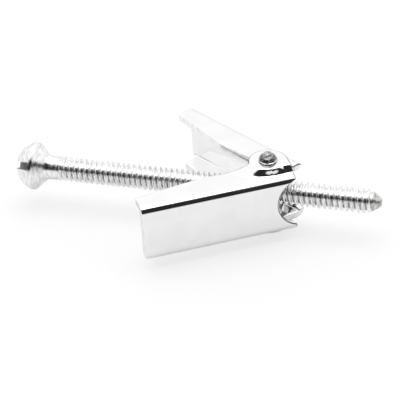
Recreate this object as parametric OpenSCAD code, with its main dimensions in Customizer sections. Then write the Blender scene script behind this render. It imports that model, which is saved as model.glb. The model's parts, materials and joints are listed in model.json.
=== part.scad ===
// Spring toggle bolt: a slotted machine screw, a trunnion nut that runs on its thread,
// and two folded sheet wings that a torsion spring holds open.
// Millimetres. The screw lies along X with its tip at +X, the wings' pin stands along Z,
// and the origin is at the middle of the head's rim, on its bearing side.

/* [Screw] */
// Length of the screw from the rim of its head to its tip
screw_len = 50.5; // [44:0.1:76.2]
// Outside diameter of the thread
thread_d = 3.505; // [3.3:0.005:3.6]
// Threads in each inch of the screw
threads_per_inch = 32; // [24:1:40]
// Depth of the thread
thread_depth = 0.45; // [0.3:0.05:0.5]
// Distance from the rim of the head to where the thread starts
thread_start = 3.2; // [2.5:0.1:10]
// Diameter of the head across its rim
head_d = 6.9; // [6:0.1:9]
// Width of the plain band round the head's rim
rim_t = 0.5; // [0.2:0.05:0.8]
// Height of the head's dome above the bearing side of its rim
dome_h = 3.05; // [2:0.05:3.3]
// Width of the driver slot
slot_w = 1.1; // [0.6:0.1:1.4]
// Depth of the driver slot from the top of the dome
slot_depth = 1.3; // [0.8:0.1:1.6]
// Turn of the driver slot about the screw, from level
slot_turn = -30; // [-90:5:90]
// Length of the rounded tip
tip_len = 1.9; // [1:0.1:3]
// Diameter of the flat at the end of the tip
tip_d = 1.1; // [0.6:0.1:1.8]
// How far the tip's sides swell past a straight cone
tip_swell = 0.1; // [0:0.05:0.2]

/* [Trunnion nut] */
// Distance from the head's rim to the wings' pin
nut_x = 34.4; // [32:0.05:37]
// Diameter of the nut's barrel
barrel_d = 5.6; // [5:0.1:6]
// Thickness of the nut along the screw, across its flats
barrel_w = 3.8; // [3.2:0.1:4.4]
// Diameter of the pins that the wings turn on
pin_d = 2.1; // [1.7:0.1:2.2]
// Diameter of the peened ends that keep the wings on
peen_d = 2.8; // [2.5:0.1:3.2]
// Thickness of the peened ends
peen_t = 0.45; // [0.3:0.05:0.7]
// Diameter of the stub that is left on the upper peened end
stub_d = 1.6; // [1:0.1:1.9]
// Height of that stub
stub_h = 0.65; // [0.3:0.05:1]

/* [Wings] */
// Angle between each wing and the screw as the spring holds it
spread = 32; // [28:1:38]
// Distance from the pin to a wing's tip
wing_len = 19.6; // [16:0.1:24]
// Distance from the pin to a wing's pivot end
heel_len = 2.75; // [2.6:0.05:3]
// Height of a wing's channel over its flanges
wing_h = 8.8; // [7.8:0.1:9.2]
// How far the wings and their pins sit below the screw's axis
wing_drop = 0.3; // [0:0.05:0.4]
// Distance from the pin to the outer face of a wing's web
web_y = 4.25; // [4.1:0.05:4.6]
// Thickness of the sheet
sheet_t = 0.9; // [0.8:0.05:0.95]
// Outer radius of the bends between web and flanges
bend_r = 1.2; // [0.96:0.02:1.3]
// Distance from the pin to where the flanges are deepest
edge_x = 9; // [7:0.5:12]
// How far the flanges reach past the pin's line at that place
edge_deep = 0.6; // [0.2:0.05:0.8]
// How far the flanges stay short of the pin's line at the tip
edge_tip = 0.9; // [0.4:0.1:2]
// Radius of the notch in the web's pivot end that clears the nut
notch_r = 3.8; // [3.4:0.1:3.9]
// Radius of the rounded corner at the wing's tip
corner_r = 1.1; // [0.8:0.1:1.6]

/* [Ears] */
// Radius of the raised flat round the pin on the outer wing
flat_r = 2.35; // [2.3:0.05:2.5]
// Run of the step up to that flat, across the wing
step_run = 0.25; // [0.15:0.05:0.5]
// Distance from the pin to the foot of the long ramp towards the tip
ramp_len = 6.1; // [5:0.1:8]
// Radius of the inner wing's ears round the pin
inner_ear_r = 2.2; // [1.9:0.05:2.2]
// Distance from the pin's line to where the inner wing's ears are cut away from its heel
heel_cut = 2.75; // [2.6:0.05:3]

/* [Spring] */
// Diameter of the spring wire
wire_d = 0.4; // [0.3:0.05:0.45]
// Distance between the hub of the nut and the pins' surface
hub_step = 0.3; // [0.2:0.05:0.35]
// Distance from the pin to the ends of the spring's legs
leg_len = 9; // [7:0.5:11]

/* [Clearances] */
// Radial clearance of the nut on the screw
thread_gap = 0.05; // [0.02:0.01:0.1]
// Radial clearance of the wings on their pins
pin_gap = 0.05; // [0.02:0.01:0.1]
// Clearance between ears that turn on one another
ear_gap = 0.1; // [0.05:0.01:0.15]
// Clearance round the spring
spring_gap = 0.05; // [0.03:0.01:0.1]

/* [Hidden] */
$fn = 96;

// Colours of the bright plated steel and of the spring wire
plated = [0.78, 0.79, 0.80];
wire_grey = [0.62, 0.63, 0.65];

// Screw: the dome is a cap of a sphere, and the cone under the rim stands at 45 degrees
thread_r = thread_d / 2;
head_r = head_d / 2;
cone_len = head_r - thread_r;
dome_rise = dome_h - rim_t;
dome_r = (pow(head_r, 2) + pow(dome_rise, 2)) / (2 * dome_rise);

// Thread: a groove wound round the shank, with this many points on each turn of an edge
pitch = 25.4 / threads_per_inch;
thread_sides = 16;
// The edges of its crest and root, as shares of the pitch and of the depth
thread_edges = [[0.07, 0], [0.36, 1], [0.64, 1], [0.93, 0]];
thread_turns = ceil((screw_len - thread_start) / pitch) + 1;
thread_rows = thread_turns * len(thread_edges);
// An edge that comes this near to an end of the thread stops there
edge_stop = pitch / 10;
neck_lap = pitch / 4;

// Heights of the stack on the pins, counted from the middle of the wings
inner_face_z = wing_h / 2 - sheet_t;
shoulder_z = inner_face_z - ear_gap;
ear_top_z = wing_h / 2 + ear_gap + sheet_t;
peen_z = ear_top_z + ear_gap;
peen_edge = peen_t / 2;
stub_edge = stub_h / 3;

// Spring: its coil sits on a hub under the nut's barrel, and each leg lies against a wing's web
wire_r = wire_d / 2;
hub_r = pin_d / 2 + hub_step;
coil_r = hub_r + spring_gap + wire_r;
leg_y = web_y - sheet_t - spring_gap - wire_r;
leg_angle = atan2(leg_y, leg_len) + acos(coil_r / norm([leg_len, leg_y]));
// The two legs leave the coil at this angle on either side of +X, after one whole turn more
leave_turn = 180 - spread - leg_angle;
coil_angle = 2 * leave_turn + 360;
coil_rise = (wire_d + spring_gap) * coil_angle / 360;
coil_low_z = spring_gap + wire_r - inner_face_z;
coil_high_z = coil_low_z + coil_rise;
barrel_low_z = coil_high_z + wire_r + spring_gap;
coil_steps = 40;
wire_sides = 10;

// Raised ears of the outer wing, seen along the pin: the foot of the step, and the flat on top
beyond = heel_len + 2;
slab = 0.02;
foot_y = flat_r + step_run;
flat_heel_y = 0.8 * flat_r;
ear_foot = [
    [-beyond, foot_y + 0.6], [-heel_len, foot_y + 0.45], [flat_r / 3, foot_y], [flat_r, foot_y - 0.15],
    [0.65 * ramp_len, 0.75 * flat_r], [ramp_len, 0.2 * flat_r], [ramp_len + 1, -edge_deep],
    [ramp_len + 1, -beyond], [-beyond, -beyond]
];
ear_flat = [[-beyond, flat_heel_y], [0, flat_heel_y], [flat_r, 0], [flat_r, -beyond], [-beyond, -beyond]];

// ---- shared shapes ----

// A point at radius r and angle a
function polar(r, a) = [r * cos(a), r * sin(a)];

// Where a line from point p touches the circle of radius r round the pin
function touch(p, r) = polar(r, atan2(p[1], p[0]) + acos(r / norm(p)));

// A wing is drawn with the pin at the origin, its tip along +X and its web at +Y.
// Section of its channel: open towards -Y, with rounded corners of radius r at y_out.
module channel_section(half_h, y_out, r) {
    translate([-beyond, -half_h]) square([beyond + y_out - r, 2 * half_h]);
    translate([-beyond, r - half_h]) square([beyond + y_out, 2 * (half_h - r)]);
    for (side = [-1, 1])
        translate([y_out - r, side * (half_h - r)]) circle(r = r);
}

// The folded channel over its whole length, before its flanges are cut to their outline
module channel() {
    translate([-heel_len, 0, 0])
        rotate([90, 0, 90])
            linear_extrude(height = heel_len + wing_len)
                difference() {
                    channel_section(wing_h / 2, web_y, bend_r);
                    channel_section(inner_face_z, web_y - sheet_t, bend_r - sheet_t);
                }
}

// Outline of the flanges with a round ear of radius ear_r; heel_points shape the pivot end
module flange_prism(heel_points, ear_r) {
    linear_extrude(height = 3 * wing_h, center = true) {
        polygon(concat(
            [[-heel_len, web_y]],
            heel_points,
            [[0, 0], [flat_r, -edge_deep / 6], [edge_x, -edge_deep], [wing_len, edge_tip], [wing_len, web_y]]
        ));
        circle(r = ear_r);
    }
}

// Cut from both wings: the notch that clears the nut, the lower tip corner with the end of the
// flange below it, and the pin's holes
module wing_cuts() {
    translate([-notch_r, web_y - bend_r, wing_drop])
        rotate([-90, 0, 0])
            cylinder(r = notch_r, h = 2 * bend_r);
    translate([wing_len - corner_r, -beyond, corner_r - wing_h / 2])
        rotate([-90, 0, 0])
            difference() {
                cube([2 * corner_r, 2 * corner_r, 4 * web_y]);
                translate([0, 0, -1]) cylinder(r = corner_r, h = 4 * web_y + 2);
            }
    translate([wing_len - corner_r, -beyond, -wing_h])
        cube([2 * corner_r, beyond + web_y - bend_r, wing_h / 2 + bend_r]);
    cylinder(r = pin_d / 2 + pin_gap, h = 4 * wing_h, center = true);
}

// The raised form of the upper ear as a solid block, up to its outer surface
module ear_block() {
    hull() {
        translate([0, 0, wing_h / 2 - slab]) linear_extrude(height = slab) polygon(ear_foot);
        translate([0, 0, ear_top_z - slab]) linear_extrude(height = slab) {
            circle(r = flat_r, $fn = 32);
            polygon(ear_flat);
        }
    }
}

// Puts a wing on the nut's pins, opened by the spread: side is -1 for the front and 1 for the back
module on_pins(side) {
    translate([nut_x, 0, -wing_drop])
        scale([1, -side, 1])
            rotate([0, 0, 180 + spread])
                children();
}

// How far along the screw a point of the thread lies, for a row of edge points and a side
function thread_z(row, side) =
    thread_start
        + pitch * (floor(row / len(thread_edges)) - 1 + thread_edges[row % len(thread_edges)][0] + side / thread_sides);

// Radius of the tip's sides, which swell past a straight cone
function tip_radius(z) =
    let (along = max(0, (z - screw_len + tip_len) / tip_len))
    thread_r + (tip_d / 2 - thread_r) * along + 4 * tip_swell * along * (1 - along);

// Radius of the thread at a share of its depth. It comes out of the neck over one pitch
function thread_radius(z, share) =
    let (grown = min(1, max(0, (z - thread_start) / pitch)))
    min(
        thread_r - thread_depth * share * grown,
        thread_r - thread_depth / 2 * (1 - grown),
        tip_radius(z)
    );

// A point at radius r on one side of the screw, z along it
function on_screw(side, r, z) =
    let (turn = 360 * side / thread_sides) [-r * sin(turn), r * cos(turn), z];

// Number of a point of the thread: rows that run past an end share that end's ring of points
function spot(row, side) =
    let (z = thread_z(row, side))
    side == thread_sides ? spot(row + len(thread_edges), 0)
    : z < thread_start + edge_stop ? side
    : z > screw_len - edge_stop ? thread_sides + side
    : (row + 2) * thread_sides + side;

// ---- sub-parts ----

// The threaded length of the screw with its tip, along Z
module thread() {
    sides = [0:thread_sides - 1];
    first_ring = [for (k = sides) on_screw(k, thread_radius(thread_start, 0), thread_start)];
    last_ring = [for (k = sides) on_screw(k, tip_d / 2, screw_len)];
    edges = [for (row = [0:thread_rows], k = sides)
        let (z = thread_z(row, k))
        on_screw(k, thread_radius(z, thread_edges[row % len(thread_edges)][1]), z)];
    skin = [for (row = [0:thread_rows], k = sides)
        let (a = spot(row, k), b = spot(row, k + 1), c = spot(row + 1, k + 1), d = spot(row + 1, k))
        each [[a, c, b], [a, d, c]]];
    flanks = [for (face = skin) if (face[0] != face[1] && face[1] != face[2] && face[2] != face[0]) face];
    first_cap = [for (k = sides) k];
    last_cap = [for (k = sides) 2 * thread_sides - 1 - k];
    polyhedron(
        points = concat(first_ring, last_ring, edges),
        faces = concat([first_cap], flanks, [last_cap])
    );
}

module screw() {
    color(plated)
        rotate([0, 90, 0])
            difference() {
                union() {
                    thread();
                    rotate_extrude()
                        polygon([
                            [0, -rim_t], [head_r, -rim_t], [head_r, 0], [thread_r, cone_len],
                            [thread_r, thread_start + neck_lap], [0, thread_start + neck_lap]
                        ]);
                    intersection() {
                        translate([0, 0, dome_r - dome_h]) sphere(r = dome_r);
                        translate([0, 0, -dome_h - 1]) cylinder(r = head_d, h = dome_h + 1 - rim_t);
                    }
                }
                rotate([0, 0, slot_turn])
                    translate([-slot_w / 2, -head_d, -2 * dome_h])
                        cube([slot_w, 2 * head_d, dome_h + slot_depth]);
            }
}

module trunnion_nut() {
    color(plated)
        translate([nut_x, 0, -wing_drop])
            difference() {
                union() {
                    intersection() {
                        translate([0, 0, barrel_low_z])
                            cylinder(r = barrel_d / 2, h = shoulder_z - barrel_low_z);
                        cube([barrel_w, 2 * barrel_d, 2 * wing_h], center = true);
                    }
                    translate([0, 0, -shoulder_z]) cylinder(r = hub_r, h = shoulder_z + barrel_low_z);
                    cylinder(r = pin_d / 2, h = 2 * peen_z, center = true);
                    for (side = [0, 1])
                        mirror([0, 0, side])
                            translate([0, 0, peen_z])
                                peened_end();
                    translate([0, 0, peen_z + peen_t]) {
                        cylinder(r = stub_d / 2, h = stub_h - stub_edge);
                        translate([0, 0, stub_h - stub_edge])
                            cylinder(r1 = stub_d / 2, r2 = stub_d / 2 - stub_edge, h = stub_edge);
                    }
                }
                translate([0, 0, wing_drop])
                    rotate([0, 90, 0])
                        cylinder(r = thread_r + thread_gap, h = 2 * barrel_d, center = true);
            }
}

// The end of a pin, spread over the ear, with a sloping edge
module peened_end() {
    cylinder(r = peen_d / 2, h = peen_t - peen_edge);
    translate([0, 0, peen_t - peen_edge])
        cylinder(r1 = peen_d / 2, r2 = peen_d / 2 - peen_edge, h = peen_edge);
}

// Front wing: its ears step outwards by a sheet's thickness to lie over the inner wing's
module outer_wing() {
    color(plated)
        on_pins(-1)
            difference() {
                intersection() {
                    union() {
                        channel();
                        for (side = [0, 1])
                            mirror([0, 0, side]) ear_block();
                    }
                    flange_prism([[-heel_len, 0]], heel_len);
                }
                for (side = [0, 1])
                    mirror([0, 0, side])
                        translate([0, 0, -sheet_t])
                            ear_block();
                wing_cuts();
            }
}

// Back wing: the same folding with flat ears
module inner_wing() {
    heel_corner = [-heel_len, heel_cut];
    color(plated)
        on_pins(1)
            difference() {
                intersection() {
                    channel();
                    flange_prism([heel_corner, touch(heel_corner, inner_ear_r)], inner_ear_r);
                }
                wing_cuts();
            }
}

// The centre line of the spring from the back leg's end, round the hub, to the front leg's end
function wire_path() =
    let (leg = polar(norm([leg_len, leg_y]), atan2(leg_y, leg_len) + spread))
    concat(
        [[-leg[0], leg[1], coil_high_z]],
        [for (i = [0:coil_steps])
            let (p = polar(coil_r, leave_turn - coil_angle * i / coil_steps))
            [p[0], p[1], coil_high_z - coil_rise * i / coil_steps]],
        [[-leg[0], -leg[1], coil_low_z]]
    );

module spring() {
    path = wire_path();
    last = len(path) - 1;
    rings = [for (i = [0:last])
        let (
            ahead = path[min(i + 1, last)] - path[max(i - 1, 0)],
            across = [-ahead[1], ahead[0], 0] / norm([ahead[0], ahead[1]])
        )
        for (k = [0:wire_sides - 1])
            let (a = 360 * k / wire_sides)
            path[i] + wire_r * (cos(a) * across + [0, 0, sin(a)])];
    sides = [for (i = [0:last - 1], k = [0:wire_sides - 1])
        let (next = (k + 1) % wire_sides, here = i * wire_sides, there = here + wire_sides)
        [here + k, here + next, there + next, there + k]];
    first_cap = [for (k = [wire_sides - 1:-1:0]) k];
    last_cap = [for (k = [0:wire_sides - 1]) last * wire_sides + k];
    color(wire_grey)
        translate([nut_x, 0, -wing_drop])
            polyhedron(points = rings, faces = concat([first_cap], sides, [last_cap]));
}

screw();
trunnion_nut();
outer_wing();
inner_wing();
spring();
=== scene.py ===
# %% [markdown]
# # A spring toggle bolt
# A toggle bolt fastens things to a hollow wall. A slotted screw runs through a small nut, and two
# folded steel wings turn on the nut's pins, held open by a spring. The solid model gives every
# piece its size and place. This script gives each piece its finished shape and surface: the
# thread, the pressed sheet with its soft bends, the peened pins and the bright plating.

import json
import math

import bmesh
import bpy
import numpy as np
from mathutils import Matrix, Vector, noise
from mathutils.geometry import delaunay_2d_cdt


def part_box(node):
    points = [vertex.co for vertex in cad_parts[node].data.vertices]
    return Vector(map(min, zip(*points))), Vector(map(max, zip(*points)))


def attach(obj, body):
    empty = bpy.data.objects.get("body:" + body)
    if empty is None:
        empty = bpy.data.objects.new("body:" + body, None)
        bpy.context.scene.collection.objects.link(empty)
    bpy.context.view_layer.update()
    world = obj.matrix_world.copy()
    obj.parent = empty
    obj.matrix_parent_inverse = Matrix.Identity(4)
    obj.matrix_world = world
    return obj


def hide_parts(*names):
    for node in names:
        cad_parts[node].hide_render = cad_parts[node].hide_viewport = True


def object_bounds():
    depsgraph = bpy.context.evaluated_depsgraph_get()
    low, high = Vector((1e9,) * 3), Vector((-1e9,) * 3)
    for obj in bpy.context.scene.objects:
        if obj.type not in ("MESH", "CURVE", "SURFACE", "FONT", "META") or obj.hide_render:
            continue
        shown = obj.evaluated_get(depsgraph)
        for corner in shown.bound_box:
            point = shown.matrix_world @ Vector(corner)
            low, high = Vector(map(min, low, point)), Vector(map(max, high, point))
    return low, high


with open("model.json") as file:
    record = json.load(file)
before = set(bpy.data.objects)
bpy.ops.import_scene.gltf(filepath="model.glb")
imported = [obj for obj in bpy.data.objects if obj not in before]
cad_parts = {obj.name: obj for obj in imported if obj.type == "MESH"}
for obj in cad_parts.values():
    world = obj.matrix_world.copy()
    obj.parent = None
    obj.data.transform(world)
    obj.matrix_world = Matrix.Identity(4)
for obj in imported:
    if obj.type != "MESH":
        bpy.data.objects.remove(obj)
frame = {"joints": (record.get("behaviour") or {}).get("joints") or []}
cad_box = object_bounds()
MM = 0.001

# %% [markdown]
# ## Sizes
# All sizes are in millimetres, as a drawing of such a bolt would give them, and are turned into
# metres only when a mesh is made. What the solid model already knows is read from it: the
# screw's ends and head from its box, and the pin's place from the wings' hinge. What several
# pieces share stands here. What one piece needs alone stands where that piece is made.

# %% Shared sizes
hinge = next(joint for joint in frame["joints"] if joint["name"] == "front_wing_hinge")
screw_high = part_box("screw")[1] / MM
nut_low, nut_high = (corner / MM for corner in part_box("trunnion_nut"))
PIN_X = hinge["pos_m"][0] / MM
HEAD_R = screw_high.y
TIP_X = screw_high.x

# the thread's outer radius and its pitch, 32 to the inch
THREAD_R = 3.505 / 2
PITCH = 25.4 / 32
# each wing's angle to the screw, and how far the wings sit below the screw's axis
SPREAD = math.radians(32)
WING_DROP = 0.3
# the wings' channel: its height, its sheet, and the distance from the pin to its outer face
WING_H, SHEET_T, WEB_Y = 8.8, 0.9, 4.25
# the pins, their clearance in the wings, and the clearance between two ears
PIN_R, PIN_GAP, EAR_GAP = 1.05, 0.05, 0.1
print(f"pin at x = {PIN_X:.2f} mm, head {2 * HEAD_R:.2f} mm across, screw ends at {TIP_X:.2f} mm")

# %% [markdown]
# ## Camera
# The camera looks down on the bolt from its front right, through a long lens, so the screw
# hardly narrows with distance. It is turned a few degrees about its own axis, as a camera held
# in the hand is, and shifted a little so that the bolt sits high in the frame.

# %% Camera
AIM = Vector((25.05, 0, 0))
VIEW_AZIMUTH, VIEW_ELEVATION, VIEW_ROLL = (math.radians(a) for a in (16.364, 33.154, 3.056))
VIEW_DISTANCE, LENS, SENSOR, SHIFT = 270.0, 171.1, 36.0, (-0.01165, -0.04086)
towards_camera = Vector((
    math.sin(VIEW_AZIMUTH) * math.cos(VIEW_ELEVATION),
    -math.cos(VIEW_AZIMUTH) * math.cos(VIEW_ELEVATION),
    math.sin(VIEW_ELEVATION)))
level_right = Vector((0, 0, 1)).cross(towards_camera).normalized()
level_up = towards_camera.cross(level_right)
camera_right = level_right * math.cos(VIEW_ROLL) - level_up * math.sin(VIEW_ROLL)
camera_up = level_right * math.sin(VIEW_ROLL) + level_up * math.cos(VIEW_ROLL)

camera_data = bpy.data.cameras.new("camera")
camera_data.lens, camera_data.sensor_width = LENS, SENSOR
camera_data.shift_x, camera_data.shift_y = SHIFT
camera_data.clip_start, camera_data.clip_end = 0.01, 5
camera = bpy.data.objects.new("camera", camera_data)
bpy.context.scene.collection.objects.link(camera)
bpy.context.scene.camera = camera
turned_to = Matrix((camera_right, camera_up, towards_camera)).transposed().to_4x4()
camera.matrix_world = Matrix.Translation((AIM + towards_camera * VIEW_DISTANCE) * MM) @ turned_to
print("camera at", tuple(round(c, 3) for c in camera.matrix_world.translation), "m")

# %% [markdown]
# ## Helpers for node trees
# Materials, the world and Geometry Nodes are all trees of nodes, and much of them is arithmetic.
# Written node by node it drowns what is being worked out, so two helpers do the wiring: one adds
# a Math node, the other turns one range of numbers into another.

# %% Helpers for node trees
def link_value(tree, socket, value):
    """Puts a number, a colour or another node's output into an input socket."""
    if isinstance(value, bpy.types.NodeSocket):
        tree.links.new(value, socket)
    else:
        socket.default_value = value


def math_node(tree, operation, *values, clamp=False):
    """A Math node with its inputs filled in; returns its output."""
    node = tree.nodes.new("ShaderNodeMath")
    node.operation, node.use_clamp = operation, clamp
    for socket, value in zip(node.inputs, values):
        link_value(tree, socket, value)
    return node.outputs[0]


def remap(tree, value, low, high, new_low=0.0, new_high=1.0, smooth=True):
    """Turns the range low..high into new_low..new_high and stays level beyond it."""
    node = tree.nodes.new("ShaderNodeMapRange")
    node.interpolation_type = "SMOOTHSTEP" if smooth else "LINEAR"
    for name, x in (("Value", value), ("From Min", low), ("From Max", high),
                    ("To Min", new_low), ("To Max", new_high)):
        link_value(tree, node.inputs[name], x)
    return node.outputs["Result"]


# %% [markdown]
# ## World
# Bright plating has hardly a colour of its own: it shows what stands round it. So the studio
# matters as much as the metal. The world is white above, like a large soft box, and a little
# less white low down. On the camera's side it holds a dark arch, as a dim room behind a camera
# does: high in the middle, low at both sides, and open at its foot. The arch draws the dark band
# along the screw and the near-black line along each bend. Only reflections show it, because the
# world is plain white to the camera itself.

# %% World
# where the arch begins and ends, as a share of facing the camera's side: its sides, its high part
ROOM_SIDES, ROOM_MIDDLE = (-0.30, -0.05), (0.35, 0.75)
# its foot, its top at the sides and in the middle, and the softness of the top, as heights
ROOM_FOOT, ROOM_TOP, ROOM_BLUR = (0.02, 0.12), (0.22, 0.86), 0.07
# how bright the arch and the low sky are, the height where the sky is white, and the whole world
ROOM_LEVEL, LOW_SKY, WHITE_FROM, WORLD_LEVEL = 0.02, 0.86, 0.6, 1.06


def room_darkness(tree, x, y, z):
    """1 inside the dark arch and 0 outside it, for a direction with these parts."""
    squared = math_node(tree, "MULTIPLY", z, z)
    level_part = math_node(tree, "SQRT", math_node(tree, "SUBTRACT", 1.0, squared))
    along = math_node(tree, "ADD", math_node(tree, "MULTIPLY", x, math.sin(VIEW_AZIMUTH)),
                      math_node(tree, "MULTIPLY", y, -math.cos(VIEW_AZIMUTH)))
    facing = math_node(tree, "DIVIDE", along, math_node(tree, "MAXIMUM", level_part, 0.001))
    top = remap(tree, remap(tree, facing, *ROOM_MIDDLE), 0.0, 1.0, *ROOM_TOP, smooth=False)
    over_top = math_node(tree, "DIVIDE", math_node(tree, "SUBTRACT", z, top), ROOM_BLUR)
    under_top = remap(tree, over_top, 0.0, 1.0, 1.0, 0.0)
    height = math_node(tree, "MULTIPLY", remap(tree, z, *ROOM_FOOT), under_top)
    return math_node(tree, "MULTIPLY", remap(tree, facing, *ROOM_SIDES), height)


def build_world():
    """White above, a little less low down, and the dark arch on the camera's side."""
    world = bpy.data.worlds.new("studio")
    world.use_nodes = True
    bpy.context.scene.world = world
    tree = world.node_tree
    tree.nodes.clear()
    direction = tree.nodes.new("ShaderNodeTexCoord").outputs["Generated"]
    xyz = tree.nodes.new("ShaderNodeSeparateXYZ")
    tree.links.new(direction, xyz.inputs[0])
    x, y, z = xyz.outputs

    room = remap(tree, room_darkness(tree, x, y, z), 0.0, 1.0, 1.0, ROOM_LEVEL, smooth=False)
    level = math_node(tree, "MULTIPLY", remap(tree, z, 0.0, WHITE_FROM, LOW_SKY, 1.0), room)
    light_path = tree.nodes.new("ShaderNodeLightPath")
    seen = math_node(tree, "MAXIMUM", level, light_path.outputs["Is Camera Ray"])
    background = tree.nodes.new("ShaderNodeBackground")
    tree.links.new(seen, background.inputs["Color"])
    background.inputs["Strength"].default_value = WORLD_LEVEL
    output = tree.nodes.new("ShaderNodeOutputWorld")
    tree.links.new(background.outputs[0], output.inputs["Surface"])
    print("world", len(tree.nodes), "nodes")


build_world()

# %% [markdown]
# ## Floor
# The bolt lies on a pale board. A real one lit this softly would look light grey, and the wings
# mirror it as such. To the camera it is white, and part of what the camera sees of it glows by
# itself, so the shadow stays but is faint.

# %% Floor
# its tone in reflections, and how much of it glows: to the camera, and in a reflection
FLOOR_TONE, SHADOW_LIFT, MIRRORED_LIFT = 0.92, 0.70, 0.30
# half its width in metres, and its roughness
FLOOR_HALF, FLOOR_ROUGH = 3.0, 0.8


def floor_material():
    """A pale matt surface that is whiter, and partly glowing, where it is seen directly."""
    material = bpy.data.materials.new("pale_floor")
    material.use_nodes = True
    tree = material.node_tree
    shader = tree.nodes["Principled BSDF"]
    shader.inputs["Roughness"].default_value = FLOOR_ROUGH
    light_path = tree.nodes.new("ShaderNodeLightPath")
    tone = remap(tree, light_path.outputs["Is Camera Ray"], 0.0, 1.0, FLOOR_TONE, 1.0, smooth=False)
    tree.links.new(tone, shader.inputs["Base Color"])
    glow = tree.nodes.new("ShaderNodeEmission")
    tree.links.new(tone, glow.inputs["Color"])
    mirrored = math_node(tree, "MULTIPLY", light_path.outputs["Is Glossy Ray"], MIRRORED_LIFT)
    seen = math_node(tree, "MULTIPLY", light_path.outputs["Is Camera Ray"], SHADOW_LIFT)
    mix = tree.nodes.new("ShaderNodeMixShader")
    tree.links.new(math_node(tree, "MAXIMUM", seen, mirrored), mix.inputs[0])
    tree.links.new(shader.outputs[0], mix.inputs[1])
    tree.links.new(glow.outputs[0], mix.inputs[2])
    tree.links.new(mix.outputs[0], tree.nodes["Material Output"].inputs["Surface"])
    return material


z = cad_box[0].z
corners = [(x * FLOOR_HALF, y * FLOOR_HALF, z) for x, y in ((-1, -1), (1, -1), (1, 1), (-1, 1))]
floor_mesh = bpy.data.meshes.new("floor")
floor_mesh.from_pydata(corners, [], [(0, 1, 2, 3)])
floor_mesh.materials.append(floor_material())
floor = bpy.data.objects.new("floor", floor_mesh)
bpy.context.scene.collection.objects.link(floor)
print(f"floor at z = {z / MM:.2f} mm")

# %% [markdown]
# ## Lamp
# The world gives most of the light. One large soft lamp overhead adds the faint shadow and a
# little shape. Places and sizes of lamps are in metres, as Blender has them.

# %% Lamp
LAMP_PLACE, LAMP_SIZE, LAMP_WATTS = (0.03, 0.05, 0.6), 0.5, 1.2
lamp_data = bpy.data.lights.new("overhead", "AREA")
lamp_data.size, lamp_data.energy = LAMP_SIZE, LAMP_WATTS
lamp = bpy.data.objects.new("overhead", lamp_data)
bpy.context.scene.collection.objects.link(lamp)
lamp.location = LAMP_PLACE
lamp.rotation_mode = "QUATERNION"
lamp.rotation_quaternion = (Vector(LAMP_PLACE) - AIM * MM).to_track_quat("Z", "Y")
bpy.context.scene.view_settings.view_transform = "Standard"
print(f"lamp {LAMP_PLACE[2]} m up, {LAMP_WATTS} W")

# %% [markdown]
# ## Plated steel
# Bright plating is a thin skin over steel. It isn't a perfect mirror: a very fine unevenness
# spreads each reflection, and the finish is duller where the metal was sheared, sawn or
# hammered. An image could carry such marks, but noise on the object's own coordinates gives them
# at any size and turns with the piece. So every finish is one metal shader, and clouds of noise
# drive its tone and roughness while a finer grain gives it a very small bump. On the screw the
# noise is narrowed along the axis, into the rings that turning and rolling leave.

# %% Plated metal
# the noise's range that turns into tone and into roughness, and how far roughness drifts
CLOUD_RANGE, ROUGH_RANGE, ROUGH_DRIFT = (0.35, 0.65), (0.3, 0.7), 0.25
CLOUD_DETAIL, GRAIN_DETAIL = 4.0, 3.0


def noise_texture(tree, place, across, detail):
    """A noise whose patches are this many millimetres across; returns its strength."""
    texture = tree.nodes.new("ShaderNodeTexNoise")
    tree.links.new(place, texture.inputs["Vector"])
    texture.inputs["Scale"].default_value = 1 / (across * MM)
    texture.inputs["Detail"].default_value = detail
    return texture.outputs["Fac"]


def colour_mix(tree, share, first, second):
    """A mix of two colours by a share from 0 to 1; returns the mixed colour."""
    mix = tree.nodes.new("ShaderNodeMix")
    mix.data_type = "RGBA"
    for name, value in (("Factor", share), ("A", first), ("B", second)):
        link_value(tree, mix.inputs[name], value)
    return mix.outputs["Result"]


def plated_metal(name, tone, drift, roughness, clouds_across, grain_across, bump,
                 tint=(1.0, 1.0, 1.0), rings=1.0):
    """A plated metal. tone is its brightness, which drifts by the share drift in clouds this many
    millimetres across, and so does its roughness. Grain of its own size raises the surface by up
    to bump millimetres. rings says how many times narrower both are along X than round it."""
    material = bpy.data.materials.new(name)
    material.use_nodes = True
    tree = material.node_tree
    shader = tree.nodes["Principled BSDF"]
    shader.inputs["Metallic"].default_value = 1.0
    narrowed = tree.nodes.new("ShaderNodeVectorMath")
    narrowed.operation = "MULTIPLY"
    tree.links.new(tree.nodes.new("ShaderNodeTexCoord").outputs["Object"], narrowed.inputs[0])
    narrowed.inputs[1].default_value = (rings, 1.0, 1.0)
    place = narrowed.outputs["Vector"]

    clouds = noise_texture(tree, place, clouds_across, CLOUD_DETAIL)
    dark = tuple(tone * (1 - drift) * c for c in tint) + (1,)
    light = tuple(min(1, tone * (1 + drift) * c) for c in tint) + (1,)
    colour = colour_mix(tree, remap(tree, clouds, *CLOUD_RANGE), dark, light)
    tree.links.new(colour, shader.inputs["Base Color"])
    rough = remap(tree, clouds, *ROUGH_RANGE,
                  roughness * (1 - ROUGH_DRIFT), roughness * (1 + ROUGH_DRIFT), smooth=False)
    tree.links.new(rough, shader.inputs["Roughness"])
    bumps = tree.nodes.new("ShaderNodeBump")
    bumps.inputs["Strength"].default_value = 1.0
    bumps.inputs["Distance"].default_value = bump * MM
    grain = noise_texture(tree, place, grain_across, GRAIN_DETAIL)
    tree.links.new(grain, bumps.inputs["Height"])
    tree.links.new(bumps.outputs["Normal"], shader.inputs["Normal"])
    print("finish", name)
    return material
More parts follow.
